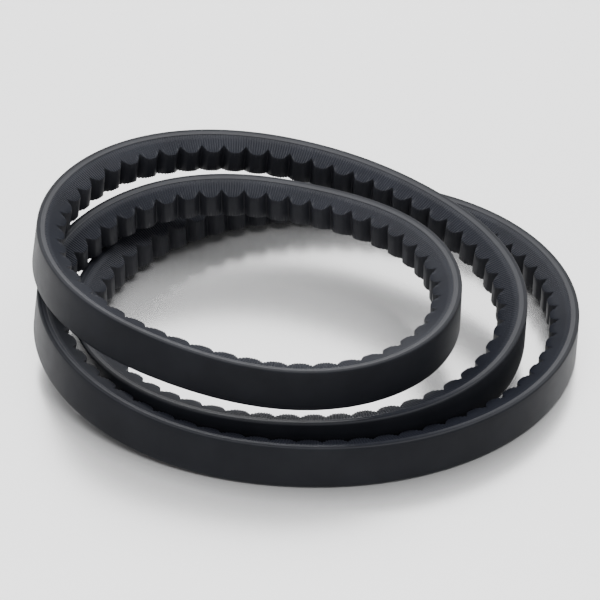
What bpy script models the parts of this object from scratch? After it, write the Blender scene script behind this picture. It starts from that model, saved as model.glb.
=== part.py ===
"""A raw-edge cogged V-belt of the 17 mm x 11 mm section, laid down as a coil of three turns.

Metres, +Z up. The origin is on the surface that the coil rests on, under the middle of its outline.
The belt's back faces out of the coil, and its cogs face the middle.
"""

import math

import bmesh
import bpy
import numpy as np

MM = 0.001

# The belt's section. A depth is measured inwards from the back, a half width from the mid plane.
TOP_WIDTH = 17.0 * MM
BELT_HEIGHT = 11.0 * MM
FLANK_ANGLE = math.radians(20.0)
SHOULDER = 0.7 * MM
COVER_THICKNESS = 1.2 * MM
OVERCORD_THICKNESS = 1.0 * MM
CORD_DIAMETER = 1.2 * MM
CUSHION_THICKNESS = 0.8 * MM
LAYER_GAP = 0.3 * MM
COG_HEIGHT = 3.1 * MM

# The cords are the turns of one helical winding, side by side across the belt.
CORD_COUNT = 8
CORD_SPACING = 1.6 * MM
CORD_SIDES = 6

# Where each layer starts, from the back inwards.
OVERCORD_TOP = COVER_THICKNESS + LAYER_GAP
CORD_TOP = OVERCORD_TOP + OVERCORD_THICKNESS + LAYER_GAP
CORD_LINE = CORD_TOP + CORD_DIAMETER / 2.0
CUSHION_TOP = CORD_TOP + CORD_DIAMETER + LAYER_GAP
COMPRESSION_TOP = CUSHION_TOP + CUSHION_THICKNESS + LAYER_GAP

# One cog, from the middle of its tip: (part of the cog pitch, part of the cog height).
COG_OUTLINE = ((0.17, 1.0), (0.25, 0.8), (0.38, 0.0), (0.62, 0.0), (0.75, 0.8), (0.83, 1.0))
COGS_PER_CHORD = 2
CHORDS = 80

# Faces that meet at less than this angle are shaded as one smooth surface.
SHARP_ANGLE = math.radians(20.0)

# The coil is three loose turns, wound clockwise seen from above. Each row is one turn, and its values, in
# millimetres and degrees, draw the curve in at eight places: front, front left, left, back left, back,
# back right, right and front right.
REACHES = (
    (65, 69, 104, 106, 83, 72, 89, 82),
    (65, 74, 90, 89, 88, 104, 110, 92),
    (79, 85, 107, 87, 58, 54, 59, 67),
)

# The belt stands on its edge, and where it lies on another turn it is one belt's width higher.
REST = 8.5
HEIGHTS = (
    (29, 34, 42, 41, 31, 28, 20, 13),
    (REST, REST, REST, REST, REST, REST, REST, REST),
    (REST, REST, 22, 29, 26, 28, 29, 29),
)

# How far the belt's upper edge tips into the coil. The stack leans most at the left, where it is tallest.
LEANS = (
    (0, 5, 12, 6, 0, 0, 0, 0),
    (0, 4, 2, 0, 0, 0, 0, 0),
    (5, 7, 10, 4, 0, 0, 0, 0),
)
TURN_COUNT = len(REACHES)
STATIONS_PER_TURN = len(REACHES[0])
FIRST_HEADING = math.radians(-90.0)
ROUTE_SAMPLES = 2400


def clear_scene():
    for obj in list(bpy.data.objects):
        bpy.data.objects.remove(obj, do_unlink=True)


def drawn_curve(values, stations):
    """The closed cubic curve that evenly spaced values draw in, read at the given stations."""
    values = np.array(values, float).ravel()
    first = np.floor(stations).astype(int)
    u = stations - first
    blend = (
        (1.0 - u) ** 3,
        3.0 * u**3 - 6.0 * u**2 + 4.0,
        -3.0 * u**3 + 3.0 * u**2 + 3.0 * u + 1.0,
        u**3,
    )
    return sum(b * values[(first + k - 1) % len(values)] for k, b in enumerate(blend)) / 6.0


def route_frames(stations):
    """The middle of the back, the way out of the back and the way up across it, at each station."""
    reach = drawn_curve(REACHES, stations) * MM
    height = drawn_curve(HEIGHTS, stations) * MM
    tilt = np.radians(drawn_curve(LEANS, stations))[:, None]
    heading = FIRST_HEADING - stations * (2.0 * math.pi / STATIONS_PER_TURN)
    centre = np.stack([reach * np.cos(heading), reach * np.sin(heading), height], axis=1)
    along = np.roll(centre, -1, 0) - np.roll(centre, 1, 0)
    along /= np.linalg.norm(along, axis=1, keepdims=True)
    level_out = np.stack([-along[:, 1], along[:, 0], np.zeros(len(stations))], axis=1)
    level_out /= np.linalg.norm(level_out, axis=1, keepdims=True)
    level_up = np.cross(along, level_out)
    outward = level_out * np.cos(tilt) + level_up * np.sin(tilt)
    upward = level_up * np.cos(tilt) - level_out * np.sin(tilt)
    return centre, outward, upward


def even_frames(count):
    """Frames at equal steps along the cord line, which keeps its length when the belt bends."""
    frames = route_frames(np.arange(ROUTE_SAMPLES) * (TURN_COUNT * STATIONS_PER_TURN / ROUTE_SAMPLES))
    cord_line = frames[0] - frames[1] * CORD_LINE
    steps = np.linalg.norm(np.roll(cord_line, -1, 0) - cord_line, axis=1)
    travelled = np.concatenate([[0.0], np.cumsum(steps)])
    wanted = np.arange(count) * (travelled[-1] / count)
    position = np.interp(wanted, travelled, np.arange(ROUTE_SAMPLES + 1))
    before = np.floor(position).astype(int)
    part = (position - before)[:, None]
    return [f[before] * (1.0 - part) + f[(before + 1) % ROUTE_SAMPLES] * part for f in frames]


def half_width(depth):
    return TOP_WIDTH / 2.0 - max(0.0, depth - SHOULDER) * math.tan(FLANK_ANGLE)


def trapezoid(top, bottom):
    """A layer's section between two depths, as (depth, half width) points round its edge."""
    return [
        (top, half_width(top)),
        (bottom, half_width(bottom)),
        (bottom, -half_width(bottom)),
        (top, -half_width(top)),
    ]


def cover_section():
    edge = TOP_WIDTH / 2.0
    inner = half_width(COVER_THICKNESS)
    return [
        (0.0, edge - SHOULDER),
        (SHOULDER, edge),
        (COVER_THICKNESS, inner),
        (COVER_THICKNESS, -inner),
        (SHOULDER, -edge),
        (0.0, SHOULDER - edge),
    ]


def cord_section(offset):
    """A many-sided cord, with a flat side towards the layers above and below it."""
    turns = [2.0 * math.pi * (k + 0.5) / CORD_SIDES for k in range(CORD_SIDES)]
    radius = CORD_DIAMETER / 2.0
    return [(CORD_LINE - radius * math.cos(a), offset + radius * math.sin(a)) for a in turns]


def place(frame, depth, across):
    """The point of one frame at a depth below the back and a distance up across the belt."""
    centre, outward, upward = frame
    return centre - outward * depth + upward * across


def make_object(name, mesh_builder, colour, roughness):
    """Makes one sub-part, with its faces turned outwards and its own material."""
    mesh = bpy.data.meshes.new(name)
    build = bmesh.new()
    mesh_builder(build)
    bmesh.ops.recalc_face_normals(build, faces=build.faces)
    build.to_mesh(mesh)
    build.free()
    material = bpy.data.materials.new(name)
    material.use_nodes = True
    shader = material.node_tree.nodes["Principled BSDF"]
    shader.inputs["Base Color"].default_value = (*colour, 1.0)
    shader.inputs["Roughness"].default_value = roughness
    mesh.materials.append(material)
    obj = bpy.data.objects.new(name, mesh)
    bpy.context.scene.collection.objects.link(obj)
    mesh.shade_smooth()
    mesh.set_sharp_from_angle(angle=SHARP_ANGLE)
    return obj


def sweep(frames, section):
    """Returns a builder for an endless layer of constant section.

    Each face is split along the diagonal that starts at its upper edge, so that layers twist alike.
    """

    def build_mesh(build):
        rings = [[build.verts.new(place(frame, *point)) for point in section] for frame in frames]
        for ring, following in zip(rings, rings[1:] + rings[:1]):
            for k in range(len(section)):
                j = (k + 1) % len(section)
                high, low = (k, j) if section[k][1] >= section[j][1] else (j, k)
                build.faces.new((ring[high], ring[low], following[low]))
                build.faces.new((ring[high], following[low], following[high]))

    return build_mesh


def cog_line():
    """The inner outline of one chord, as (part of the chord, depth), from the middle of a cog's tip."""
    line = [(0.0, BELT_HEIGHT)]
    for cog in range(COGS_PER_CHORD):
        for part, rise in COG_OUTLINE:
            line.append(((cog + part) / COGS_PER_CHORD, BELT_HEIGHT - COG_HEIGHT * (1.0 - rise)))
    return line


def cogged_layer(frames):
    """Returns a builder for the compression rubber, whose inner side carries the cogs."""

    def build_mesh(build):
        line = cog_line()
        top_edge = half_width(COMPRESSION_TOP)
        tops = []
        inner = []
        for frame, following in zip(frames, frames[1:] + frames[:1]):
            tops.append([build.verts.new(place(frame, COMPRESSION_TOP, side * top_edge)) for side in (1, -1)])
            pairs = []
            for part, depth in line:
                between = [a * (1.0 - part) + b * part for a, b in zip(frame, following)]
                across = half_width(depth)
                pairs.append([build.verts.new(place(between, depth, side * across)) for side in (1, -1)])
            inner.append(pairs)
        for k, pairs in enumerate(inner):
            following = (k + 1) % len(inner)
            run = pairs + inner[following][:1]
            for a, b in zip(run, run[1:]):
                build.faces.new((a[0], b[0], b[1], a[1]))
            build.faces.new((tops[k][0], tops[k][1], tops[following][1]))
            build.faces.new((tops[k][0], tops[following][1], tops[following][0]))
            for side in (0, 1):
                build.faces.new([tops[k][side]] + [pair[side] for pair in run] + [tops[following][side]])

    return build_mesh


def settled_frames():
    """The frames moved so that the cover's outline is centred on the origin and rests on z = 0."""
    centre, outward, upward = even_frames(CHORDS)
    corners = np.concatenate(
        [centre - outward * depth + upward * across for depth, across in cover_section()]
    )
    low, high = corners.min(0), corners.max(0)
    shift = np.array([(low[0] + high[0]) / 2.0, (low[1] + high[1]) / 2.0, low[2]])
    return list(zip(centre - shift, outward, upward))


def main():
    clear_scene()
    frames = settled_frames()
    make_object("back_cover", sweep(frames, cover_section()), (0.030, 0.031, 0.036), 0.45)
    overcord = trapezoid(OVERCORD_TOP, OVERCORD_TOP + OVERCORD_THICKNESS)
    make_object("overcord_rubber", sweep(frames, overcord), (0.035, 0.036, 0.040), 0.5)
    for k in range(CORD_COUNT):
        offset = (k - (CORD_COUNT - 1) / 2.0) * CORD_SPACING
        make_object(f"tensile_cord_{k + 1}", sweep(frames, cord_section(offset)), (0.75, 0.72, 0.62), 0.8)
    cushion = trapezoid(CUSHION_TOP, CUSHION_TOP + CUSHION_THICKNESS)
    make_object("cushion_rubber", sweep(frames, cushion), (0.040, 0.040, 0.043), 0.55)
    make_object("compression_rubber", cogged_layer(frames), (0.028, 0.029, 0.034), 0.6)


main()
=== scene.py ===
import math

import bpy
import numpy as np
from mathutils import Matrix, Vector


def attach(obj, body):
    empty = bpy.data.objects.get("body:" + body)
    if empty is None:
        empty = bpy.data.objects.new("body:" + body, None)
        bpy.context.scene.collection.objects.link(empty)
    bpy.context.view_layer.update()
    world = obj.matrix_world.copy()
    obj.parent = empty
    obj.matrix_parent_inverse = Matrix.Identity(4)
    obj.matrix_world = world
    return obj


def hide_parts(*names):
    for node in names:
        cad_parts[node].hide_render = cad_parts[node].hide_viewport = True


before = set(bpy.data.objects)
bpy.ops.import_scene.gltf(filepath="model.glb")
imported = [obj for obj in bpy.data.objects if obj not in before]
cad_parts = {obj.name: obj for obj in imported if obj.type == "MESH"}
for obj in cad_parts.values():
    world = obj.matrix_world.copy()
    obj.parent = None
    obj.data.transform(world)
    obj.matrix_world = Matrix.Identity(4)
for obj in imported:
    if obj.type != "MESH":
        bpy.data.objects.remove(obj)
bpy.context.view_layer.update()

MM = 0.001

# ---------------------------------------------------------------- the belt's section, as in the frame
TOP_WIDTH = 17.0 * MM
BELT_HEIGHT = 11.0 * MM
FLANK_SLOPE = math.tan(math.radians(20.0))
HALF_TOP = TOP_WIDTH / 2.0
SHOULDER = 0.7 * MM
CORD_LINE = 3.4 * MM
COG_HEIGHT = 3.1 * MM

# The smooth band at the edge of the back is flatter than the ground flank, and ends in a low ridge.
BAND_DEGREES = 12.0
BAND_SLOPE = math.tan(math.radians(BAND_DEGREES))
BAND_END = 3.2 * MM
BAND_STEP = 0.16 * MM
RIDGE_HEIGHT = 0.14 * MM
RIDGE_WIDTH = 0.5 * MM
RIDGE_INSET = 0.35 * MM
BACK_CROWN = 0.04 * MM
COVER_END = 1.5 * MM
CUSHION_END = 5.25 * MM

# A layer's hidden faces are closed by a line at this part of the half width.
CORE_PART = 0.4
CORE_HALF_WIDTH = CORE_PART * HALF_TOP

# The step from the band to the ground flank is a jump in width across this small depth.
HAIR = 1e-6

# A cog's tip is flat for this part of the pitch either side of its middle, and its notch ends at the root.
COG_COUNT = 160
COG_TIP = 0.18
COG_ROOT = 0.48
COG_ROUNDING = 1.4
TIP_CROWN = 0.15 * MM
RIBS_PER_COG = 9
SAMPLES_PER_RIB = 4
RIB_DEPTH = 0.42 * MM
RIB_FADE = 0.5 * MM
SMOOTH_SAMPLES_PER_COG = 8

# The small chamfer where the flank meets the moulded inner side.
LIP_DEPTH = 0.12 * MM
LIP_WIDTH = 0.14 * MM

# ---------------------------------------------------------------- the coil's route, as in the frame
REACHES = (
    (65, 69, 104, 106, 83, 72, 89, 82),
    (65, 74, 90, 89, 88, 104, 110, 92),
    (79, 85, 107, 87, 58, 54, 59, 67),
)

# The belt stands on its edge, and where it lies on another turn it is one belt's width higher.
REST = 8.5
HEIGHTS = (
    (29, 34, 42, 41, 31, 28, 20, 13),
    (REST, REST, REST, REST, REST, REST, REST, REST),
    (REST, REST, 22, 29, 26, 28, 29, 29),
)

# How far the belt's upper edge tips into the coil. The stack leans most at the left, where it is tallest.
LEANS = (
    (0, 5, 12, 6, 0, 0, 0, 0),
    (0, 4, 2, 0, 0, 0, 0, 0),
    (5, 7, 10, 4, 0, 0, 0, 0),
)
TURN_COUNT = len(REACHES)
STATIONS_PER_TURN = len(REACHES[0])
FIRST_HEADING = math.radians(-90.0)
ROUTE_SAMPLES = 2400
CHORDS = 80


def drawn_curve(values, stations):
    """The closed cubic curve that evenly spaced values draw in, read at the given stations."""
    values = np.array(values, float).ravel()
    first = np.floor(stations).astype(int)
    u = stations - first
    blend = (
        (1.0 - u) ** 3,
        3.0 * u**3 - 6.0 * u**2 + 4.0,
        -3.0 * u**3 + 3.0 * u**2 + 3.0 * u + 1.0,
        u**3,
    )
    return sum(b * values[(first + k - 1) % len(values)] for k, b in enumerate(blend)) / 6.0


def route_frames(stations):
    """The middle of the back, the way out of the back and the way up across it, at each station."""
    reach = drawn_curve(REACHES, stations) * MM
    height = drawn_curve(HEIGHTS, stations) * MM
    tilt = np.radians(drawn_curve(LEANS, stations))[:, None]
    heading = FIRST_HEADING - stations * (2.0 * math.pi / STATIONS_PER_TURN)
    centre = np.stack([reach * np.cos(heading), reach * np.sin(heading), height], axis=1)
    along = np.roll(centre, -1, 0) - np.roll(centre, 1, 0)
    along /= np.linalg.norm(along, axis=1, keepdims=True)
    level_out = np.stack([-along[:, 1], along[:, 0], np.zeros(len(stations))], axis=1)
    level_out /= np.linalg.norm(level_out, axis=1, keepdims=True)
    level_up = np.cross(along, level_out)
    outward = level_out * np.cos(tilt) + level_up * np.sin(tilt)
    upward = level_up * np.cos(tilt) - level_out * np.sin(tilt)
    return centre, outward, upward


def even_frames(count):
    """Frames at equal steps along the cord line, which keeps its length when the belt bends."""
    frames = route_frames(np.arange(ROUTE_SAMPLES) * (TURN_COUNT * STATIONS_PER_TURN / ROUTE_SAMPLES))
    cord_line = frames[0] - frames[1] * CORD_LINE
    steps = np.linalg.norm(np.roll(cord_line, -1, 0) - cord_line, axis=1)
    travelled = np.concatenate([[0.0], np.cumsum(steps)])
    wanted = np.arange(count) * (travelled[-1] / count)
    position = np.interp(wanted, travelled, np.arange(ROUTE_SAMPLES + 1))
    before = np.floor(position).astype(int)
    part = (position - before)[:, None]
    return [f[before] * (1.0 - part) + f[(before + 1) % ROUTE_SAMPLES] * part for f in frames]


def frame_shift():
    """How far the route lies from the frame, whose outline is centred on the origin and rests on z = 0."""
    centre, outward, upward = even_frames(CHORDS)
    rims = [(0.0, HALF_TOP - SHOULDER), (SHOULDER, HALF_TOP)]
    corners = np.concatenate([centre - outward * d + upward * s * w for d, w in rims for s in (1, -1)])
    low, high = corners.min(0), corners.max(0)
    return np.array([(low[0] + high[0]) / 2.0, (low[1] + high[1]) / 2.0, low[2]])


SHIFT = frame_shift()


# ---------------------------------------------------------------- shapes
def smoothstep(low, high, x):
    t = np.clip((x - low) / (high - low), 0.0, 1.0)
    return t * t * (3.0 - 2.0 * t)


def flank_half_width(depth):
    """The half width of the finished belt at a depth: shoulder, smooth band, step, ground flank."""
    band = HALF_TOP - (depth - SHOULDER) * BAND_SLOPE
    band_foot = HALF_TOP - (BAND_END - SHOULDER) * BAND_SLOPE - BAND_STEP
    tip = HALF_TOP - (BELT_HEIGHT - SHOULDER) * FLANK_SLOPE
    ground = band_foot + (depth - BAND_END) * (tip - band_foot) / (BELT_HEIGHT - BAND_END)
    return np.where(depth < BAND_END, band, ground)


def cog_depth(phase):
    """How deep the inner side lies, where phase runs from 0 to 1 between the middles of two tips."""
    from_tip = np.abs((phase + 0.5) % 1.0 - 0.5)
    fall = np.clip((from_tip - COG_TIP) / (COG_ROOT - COG_TIP), 0.0, 1.0)
    rise = 1.0 - fall**COG_ROUNDING
    crown = TIP_CROWN * np.minimum(from_tip / COG_TIP, 1.0) ** 2
    return BELT_HEIGHT - COG_HEIGHT * (1.0 - rise) - crown * rise


def rib_lift(count):
    """The ground flank's fine cross ribs: how far the surface stands in or out, at each sample."""
    phase = np.arange(count) / SAMPLES_PER_RIB
    return RIB_DEPTH * 0.5 * (np.cos(2.0 * math.pi * phase) - 1.0)


def sweep_mesh(name, depth, across, slots=None, sharp_degrees=38.0):
    """A closed tube of rubber: depth and across hold one row for each sample along the belt."""
    count, ring = depth.shape
    centre, outward, upward = even_frames(count)
    points = (
        (centre - SHIFT)[:, None, :]
        - outward[:, None, :] * depth[:, :, None]
        + upward[:, None, :] * across[:, :, None]
    )
    i = np.arange(count)[:, None]
    k = np.arange(ring)[None, :]
    ahead = (i + 1) % count
    beside = (k + 1) % ring
    faces = np.stack([i * ring + k, i * ring + beside, ahead * ring + beside, ahead * ring + k], axis=-1)
    mesh = bpy.data.meshes.new(name)
    mesh.from_pydata(points.reshape(-1, 3).tolist(), [], faces.reshape(-1, 4).tolist())
    if slots is not None:
        mesh.polygons.foreach_set("material_index", np.tile(slots, count).astype(np.int32))
    mesh.shade_smooth()
    mesh.set_sharp_from_angle(angle=math.radians(sharp_degrees))
    mesh.update()
    piece = bpy.data.objects.new(name, mesh)
    bpy.context.scene.collection.objects.link(piece)
    return piece


def mirrored(depths, widths):
    """Closes an outline that runs down one flank by running back up the other."""
    depth = np.concatenate([depths, depths[..., ::-1]], axis=-1)
    across = np.concatenate([widths, -widths[..., ::-1]], axis=-1)
    return depth, across


def steady(depths, widths, count):
    """The same outline at every sample along the belt."""
    depth, across = mirrored(depths, widths)
    return np.tile(depth, (count, 1)), np.tile(across, (count, 1))


# ---------------------------------------------------------------- materials
NOISE_ROUGHNESS = 0.55
BLOOM_SCALE = 55.0
PATCH_SCALE = 180.0
ROUGHNESS_SPREAD = 0.05
GRAIN_HEIGHT = 0.05 * MM


def new_material(name):
    material = bpy.data.materials.new(name)
    material.use_nodes = True
    return material, material.node_tree.nodes, material.node_tree.links


def noise(nodes, links, scale, detail):
    coordinates = nodes.new("ShaderNodeTexCoord")
    texture = nodes.new("ShaderNodeTexNoise")
    texture.inputs["Scale"].default_value = scale
    texture.inputs["Detail"].default_value = detail
    texture.inputs["Roughness"].default_value = NOISE_ROUGHNESS
    links.new(coordinates.outputs["Object"], texture.inputs["Vector"])
    return texture.outputs["Fac"]


def ramp(nodes, links, factor, low, high, start=0.3, end=0.7):
    node = nodes.new("ShaderNodeValToRGB")
    node.color_ramp.elements[0].position = start
    node.color_ramp.elements[1].position = end
    node.color_ramp.elements[0].color = (*low, 1.0)
    node.color_ramp.elements[1].color = (*high, 1.0)
    links.new(factor, node.inputs["Fac"])
    return node.outputs["Color"]


def rubber(name, dark, light, roughness, specular, grain_scale, grain_strength):
    """Charcoal rubber: mottled by moulding bloom, with a fine grain that breaks up its sheen."""
    material, nodes, links = new_material(name)
    shader = nodes["Principled BSDF"]
    bloom = noise(nodes, links, BLOOM_SCALE, detail=5.0)
    links.new(ramp(nodes, links, bloom, dark, light), shader.inputs["Base Color"])
    patches = noise(nodes, links, PATCH_SCALE, detail=3.0)
    rough = nodes.new("ShaderNodeMapRange")
    rough.inputs["To Min"].default_value = roughness - ROUGHNESS_SPREAD
    rough.inputs["To Max"].default_value = roughness + ROUGHNESS_SPREAD
    links.new(patches, rough.inputs["Value"])
    links.new(rough.outputs["Result"], shader.inputs["Roughness"])
    grain = noise(nodes, links, grain_scale, detail=3.0)
    bump = nodes.new("ShaderNodeBump")
    bump.inputs["Strength"].default_value = grain_strength
    bump.inputs["Distance"].default_value = GRAIN_HEIGHT
    links.new(grain, bump.inputs["Height"])
    links.new(bump.outputs["Normal"], shader.inputs["Normal"])
    shader.inputs["Specular IOR Level"].default_value = specular
    return material


COVER = rubber(
    "cover_rubber",
    dark=(0.0062, 0.0068, 0.0092),
    light=(0.0098, 0.0106, 0.0138),
    roughness=0.52,
    specular=0.11,
    grain_scale=4200.0,
    grain_strength=0.30,
)
LAYER = rubber(
    "band_rubber",
    dark=(0.0078, 0.0086, 0.0122),
    light=(0.0112, 0.0122, 0.0165),
    roughness=0.42,
    specular=0.24,
    grain_scale=3600.0,
    grain_strength=0.25,
)
GROUND = rubber(
    "ground_flank",
    dark=(0.0070, 0.0080, 0.0125),
    light=(0.0115, 0.0130, 0.0190),
    roughness=0.50,
    specular=0.20,
    grain_scale=5200.0,
    grain_strength=0.5,
)
MOULDED = rubber(
    "moulded_cogs",
    dark=(0.0082, 0.0086, 0.0114),
    light=(0.0118, 0.0124, 0.0160),
    roughness=0.52,
    specular=0.16,
    grain_scale=3000.0,
    grain_strength=0.35,
)


def cord_material():
    """Twisted polyester cord: pale, with the strands' fine diagonal bands."""
    material, nodes, links = new_material("cord_fabric")
    shader = nodes["Principled BSDF"]
    strands = nodes.new("ShaderNodeTexWave")
    strands.bands_direction = "DIAGONAL"
    strands.inputs["Scale"].default_value = 900.0
    strands.inputs["Distortion"].default_value = 1.5
    coordinates = nodes.new("ShaderNodeTexCoord")
    links.new(coordinates.outputs["Object"], strands.inputs["Vector"])
    colour = ramp(nodes, links, strands.outputs["Fac"], (0.52, 0.48, 0.38), (0.78, 0.74, 0.62), 0.2, 0.8)
    links.new(colour, shader.inputs["Base Color"])
    shader.inputs["Roughness"].default_value = 0.85
    return material


# ---------------------------------------------------------------- the belt's pieces
# The compression rubber's flanks are in its first material slot, and its lips and moulded side in this one.
MOULDED_SLOT = 1


def make_cover():
    """The back cover, with its rounded shoulders and a back that is very slightly crowned."""
    arc_points = 6
    arc_drop = 0.8
    turns = np.radians(np.linspace(0.0, 90.0 - BAND_DEGREES, arc_points))
    arc_depth = SHOULDER * (1.0 - np.cos(turns)) + BACK_CROWN * arc_drop
    arc_width = HALF_TOP - SHOULDER + SHOULDER * np.sin(turns)
    flat_width = np.array([0.0, 0.35, 0.7]) * (HALF_TOP - SHOULDER)
    flat_depth = BACK_CROWN * (flat_width / HALF_TOP) ** 2
    depths = np.concatenate([flat_depth, arc_depth, [COVER_END, COVER_END]])
    foot = [float(flank_half_width(COVER_END)), CORE_HALF_WIDTH]
    widths = np.concatenate([flat_width, arc_width, foot])
    depth, across = steady(depths, widths, COG_COUNT * SMOOTH_SAMPLES_PER_COG)
    return sweep_mesh("cover_piece", depth, across)


def make_overcord():
    """The smooth band below the shoulder, which ends in a low rounded ridge."""
    run_points = 7
    run = np.linspace(COVER_END, BAND_END, run_points)
    from_ridge = run - BAND_END + RIDGE_INSET
    ridge = RIDGE_HEIGHT * np.exp(-((from_ridge / (RIDGE_WIDTH / 2.0)) ** 2))
    widths = flank_half_width(np.minimum(run, BAND_END - HAIR)) + ridge
    depths = np.concatenate([[COVER_END], run, [BAND_END]])
    widths = np.concatenate([[CORE_HALF_WIDTH], widths, [CORE_HALF_WIDTH]])
    depth, across = steady(depths, widths, COG_COUNT * SMOOTH_SAMPLES_PER_COG)
    return sweep_mesh("overcord_piece", depth, across)


def ribbed(depth_rows, count):
    """The ribbed half widths for rows of depths, one row for each sample."""
    fade = smoothstep(BAND_END, BAND_END + RIB_FADE, depth_rows)
    return flank_half_width(depth_rows) + rib_lift(count)[:, None] * fade


def make_cushion():
    """The top of the ground flank, where the cross ribs begin."""
    count = COG_COUNT * RIBS_PER_COG * SAMPLES_PER_RIB
    rows = np.tile(np.array([BAND_END + HAIR, BAND_END + RIB_FADE, CUSHION_END]), (count, 1))
    widths = ribbed(rows, count)
    inner = np.full((count, 1), CORE_HALF_WIDTH)
    depths = np.concatenate([rows[:, :1], rows, rows[:, -1:]], axis=1)
    widths = np.concatenate([inner, widths, inner], axis=1)
    depth, across = mirrored(depths, widths)
    return sweep_mesh("cushion_piece", depth, across)


def make_compression():
    """The ribbed flanks down to the cogs, and the smooth moulded inner side."""
    count = COG_COUNT * RIBS_PER_COG * SAMPLES_PER_RIB
    phase = np.arange(count) / (RIBS_PER_COG * SAMPLES_PER_RIB)
    inner = cog_depth(phase)[:, None]
    top = np.full((count, 1), CUSHION_END)
    between = 0.55
    rows = np.concatenate([top, top + (inner - top) * between, inner - LIP_DEPTH], axis=1)
    widths = ribbed(rows, count)
    lip = widths[:, -1:] - LIP_WIDTH
    core = np.full((count, 1), CORE_HALF_WIDTH)
    depths = np.concatenate([top, rows, inner, inner], axis=1)
    widths = np.concatenate([core, widths, lip, lip * CORE_PART], axis=1)
    depth, across = mirrored(depths, widths)
    ring = depth.shape[1]
    half = ring // 2
    slots = np.zeros(ring, int)
    slots[half - 3 : half + 2] = MOULDED_SLOT
    return sweep_mesh("compression_piece", depth, across, slots, sharp_degrees=50.0)


def dress(piece, materials, node):
    """Gives a piece its materials and its body, and hides the frame's node that it stands in for."""
    for material in materials:
        piece.data.materials.append(material)
    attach(piece, "root")
    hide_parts(node)


dress(make_cover(), [COVER], "back_cover")
dress(make_overcord(), [LAYER], "overcord_rubber")
dress(make_cushion(), [GROUND], "cushion_rubber")
dress(make_compression(), [GROUND, MOULDED], "compression_rubber")

CORD = cord_material()
for node_name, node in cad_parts.items():
    if node_name.startswith("tensile_cord_"):
        node.data.materials.clear()
        node.data.materials.append(CORD)


# ---------------------------------------------------------------- the stage
def studio_surface():
    """Satin white acrylic, with a soft mirror image and a faint unevenness."""
    material, nodes, links = new_material("studio_floor")
    shader = nodes["Principled BSDF"]
    cloud = noise(nodes, links, scale=3.0, detail=2.0)
    colour = ramp(nodes, links, cloud, (0.80, 0.80, 0.803), (0.82, 0.82, 0.823))
    links.new(colour, shader.inputs["Base Color"])
    rough = nodes.new("ShaderNodeMapRange")
    rough.inputs["To Min"].default_value = 0.24
    rough.inputs["To Max"].default_value = 0.28
    links.new(cloud, rough.inputs["Value"])
    links.new(rough.outputs["Result"], shader.inputs["Roughness"])
    shader.inputs["Metallic"].default_value = 0.75
    return material


def make_floor():
    """A level floor that curves up into a wall well behind the belt."""
    half = 2.5
    bend = 0.6
    wall = 1.8
    wall_top = 2.4
    bend_points = 13
    turns = np.linspace(0.0, math.pi / 2.0, bend_points)
    curve = [(wall + bend * math.sin(t), bend * (1.0 - math.cos(t))) for t in turns]
    profile = [(-half, 0.0)] + curve + [(wall + bend, wall_top)]
    points = [(x, y, z) for y, z in profile for x in (-half, half)]
    faces = [(2 * k, 2 * k + 1, 2 * k + 3, 2 * k + 2) for k in range(len(profile) - 1)]
    mesh = bpy.data.meshes.new("floor")
    mesh.from_pydata(points, [], faces)
    mesh.shade_smooth()
    mesh.materials.append(studio_surface())
    floor = bpy.data.objects.new("floor", mesh)
    bpy.context.scene.collection.objects.link(floor)


def make_light(name, place, target, size, power):
    """A white rectangular softbox that faces its target."""
    data = bpy.data.lights.new(name, "AREA")
    data.shape = "RECTANGLE"
    data.size = size[0]
    data.size_y = size[1]
    data.energy = power
    light = bpy.data.objects.new(name, data)
    light.location = place
    light.rotation_euler = (Vector(target) - Vector(place)).to_track_quat("-Z", "Y").to_euler()
    bpy.context.scene.collection.objects.link(light)


def make_world():
    """A dim, even, white surround."""
    world = bpy.data.worlds.new("studio")
    world.use_nodes = True
    world.node_tree.nodes["Background"].inputs["Color"].default_value = (1.0, 1.0, 1.0, 1.0)
    world.node_tree.nodes["Background"].inputs["Strength"].default_value = 0.35
    bpy.context.scene.world = world


def make_camera():
    """Looks at the middle of the coil from 36 degrees up, with a long lens."""
    elevation = math.radians(36.0)
    distance = 0.85
    aim = Vector((0.0, 0.0, 0.022)) - Vector(SHIFT)
    data = bpy.data.cameras.new("camera")
    data.lens = 135.0
    data.sensor_width = 36.0
    camera = bpy.data.objects.new("camera", data)
    camera.location = aim + Vector((0.0, -distance * math.cos(elevation), distance * math.sin(elevation)))
    camera.rotation_euler = (aim - camera.location).to_track_quat("-Z", "Y").to_euler()
    bpy.context.scene.collection.objects.link(camera)
    bpy.context.scene.camera = camera


make_floor()
make_world()
make_light("softbox_left", (-1.0, 0.5, 0.55), (0.0, 0.0, 0.02), (0.8, 0.8), 9.0)
make_light("softbox_right", (1.0, 0.5, 0.55), (0.0, 0.0, 0.02), (0.8, 0.8), 6.0)
make_light("softbox_back", (0.0, 1.5, 1.1), (0.0, 0.0, 0.0), (3.2, 1.8), 48.0)
make_light("softbox_top", (0.0, 0.0, 1.4), (0.0, 0.0, 0.0), (1.6, 1.4), 48.0)
make_light("fill_front", (0.0, -1.6, 0.7), (0.0, 0.0, 0.02), (1.6, 0.8), 10.0)
make_camera()
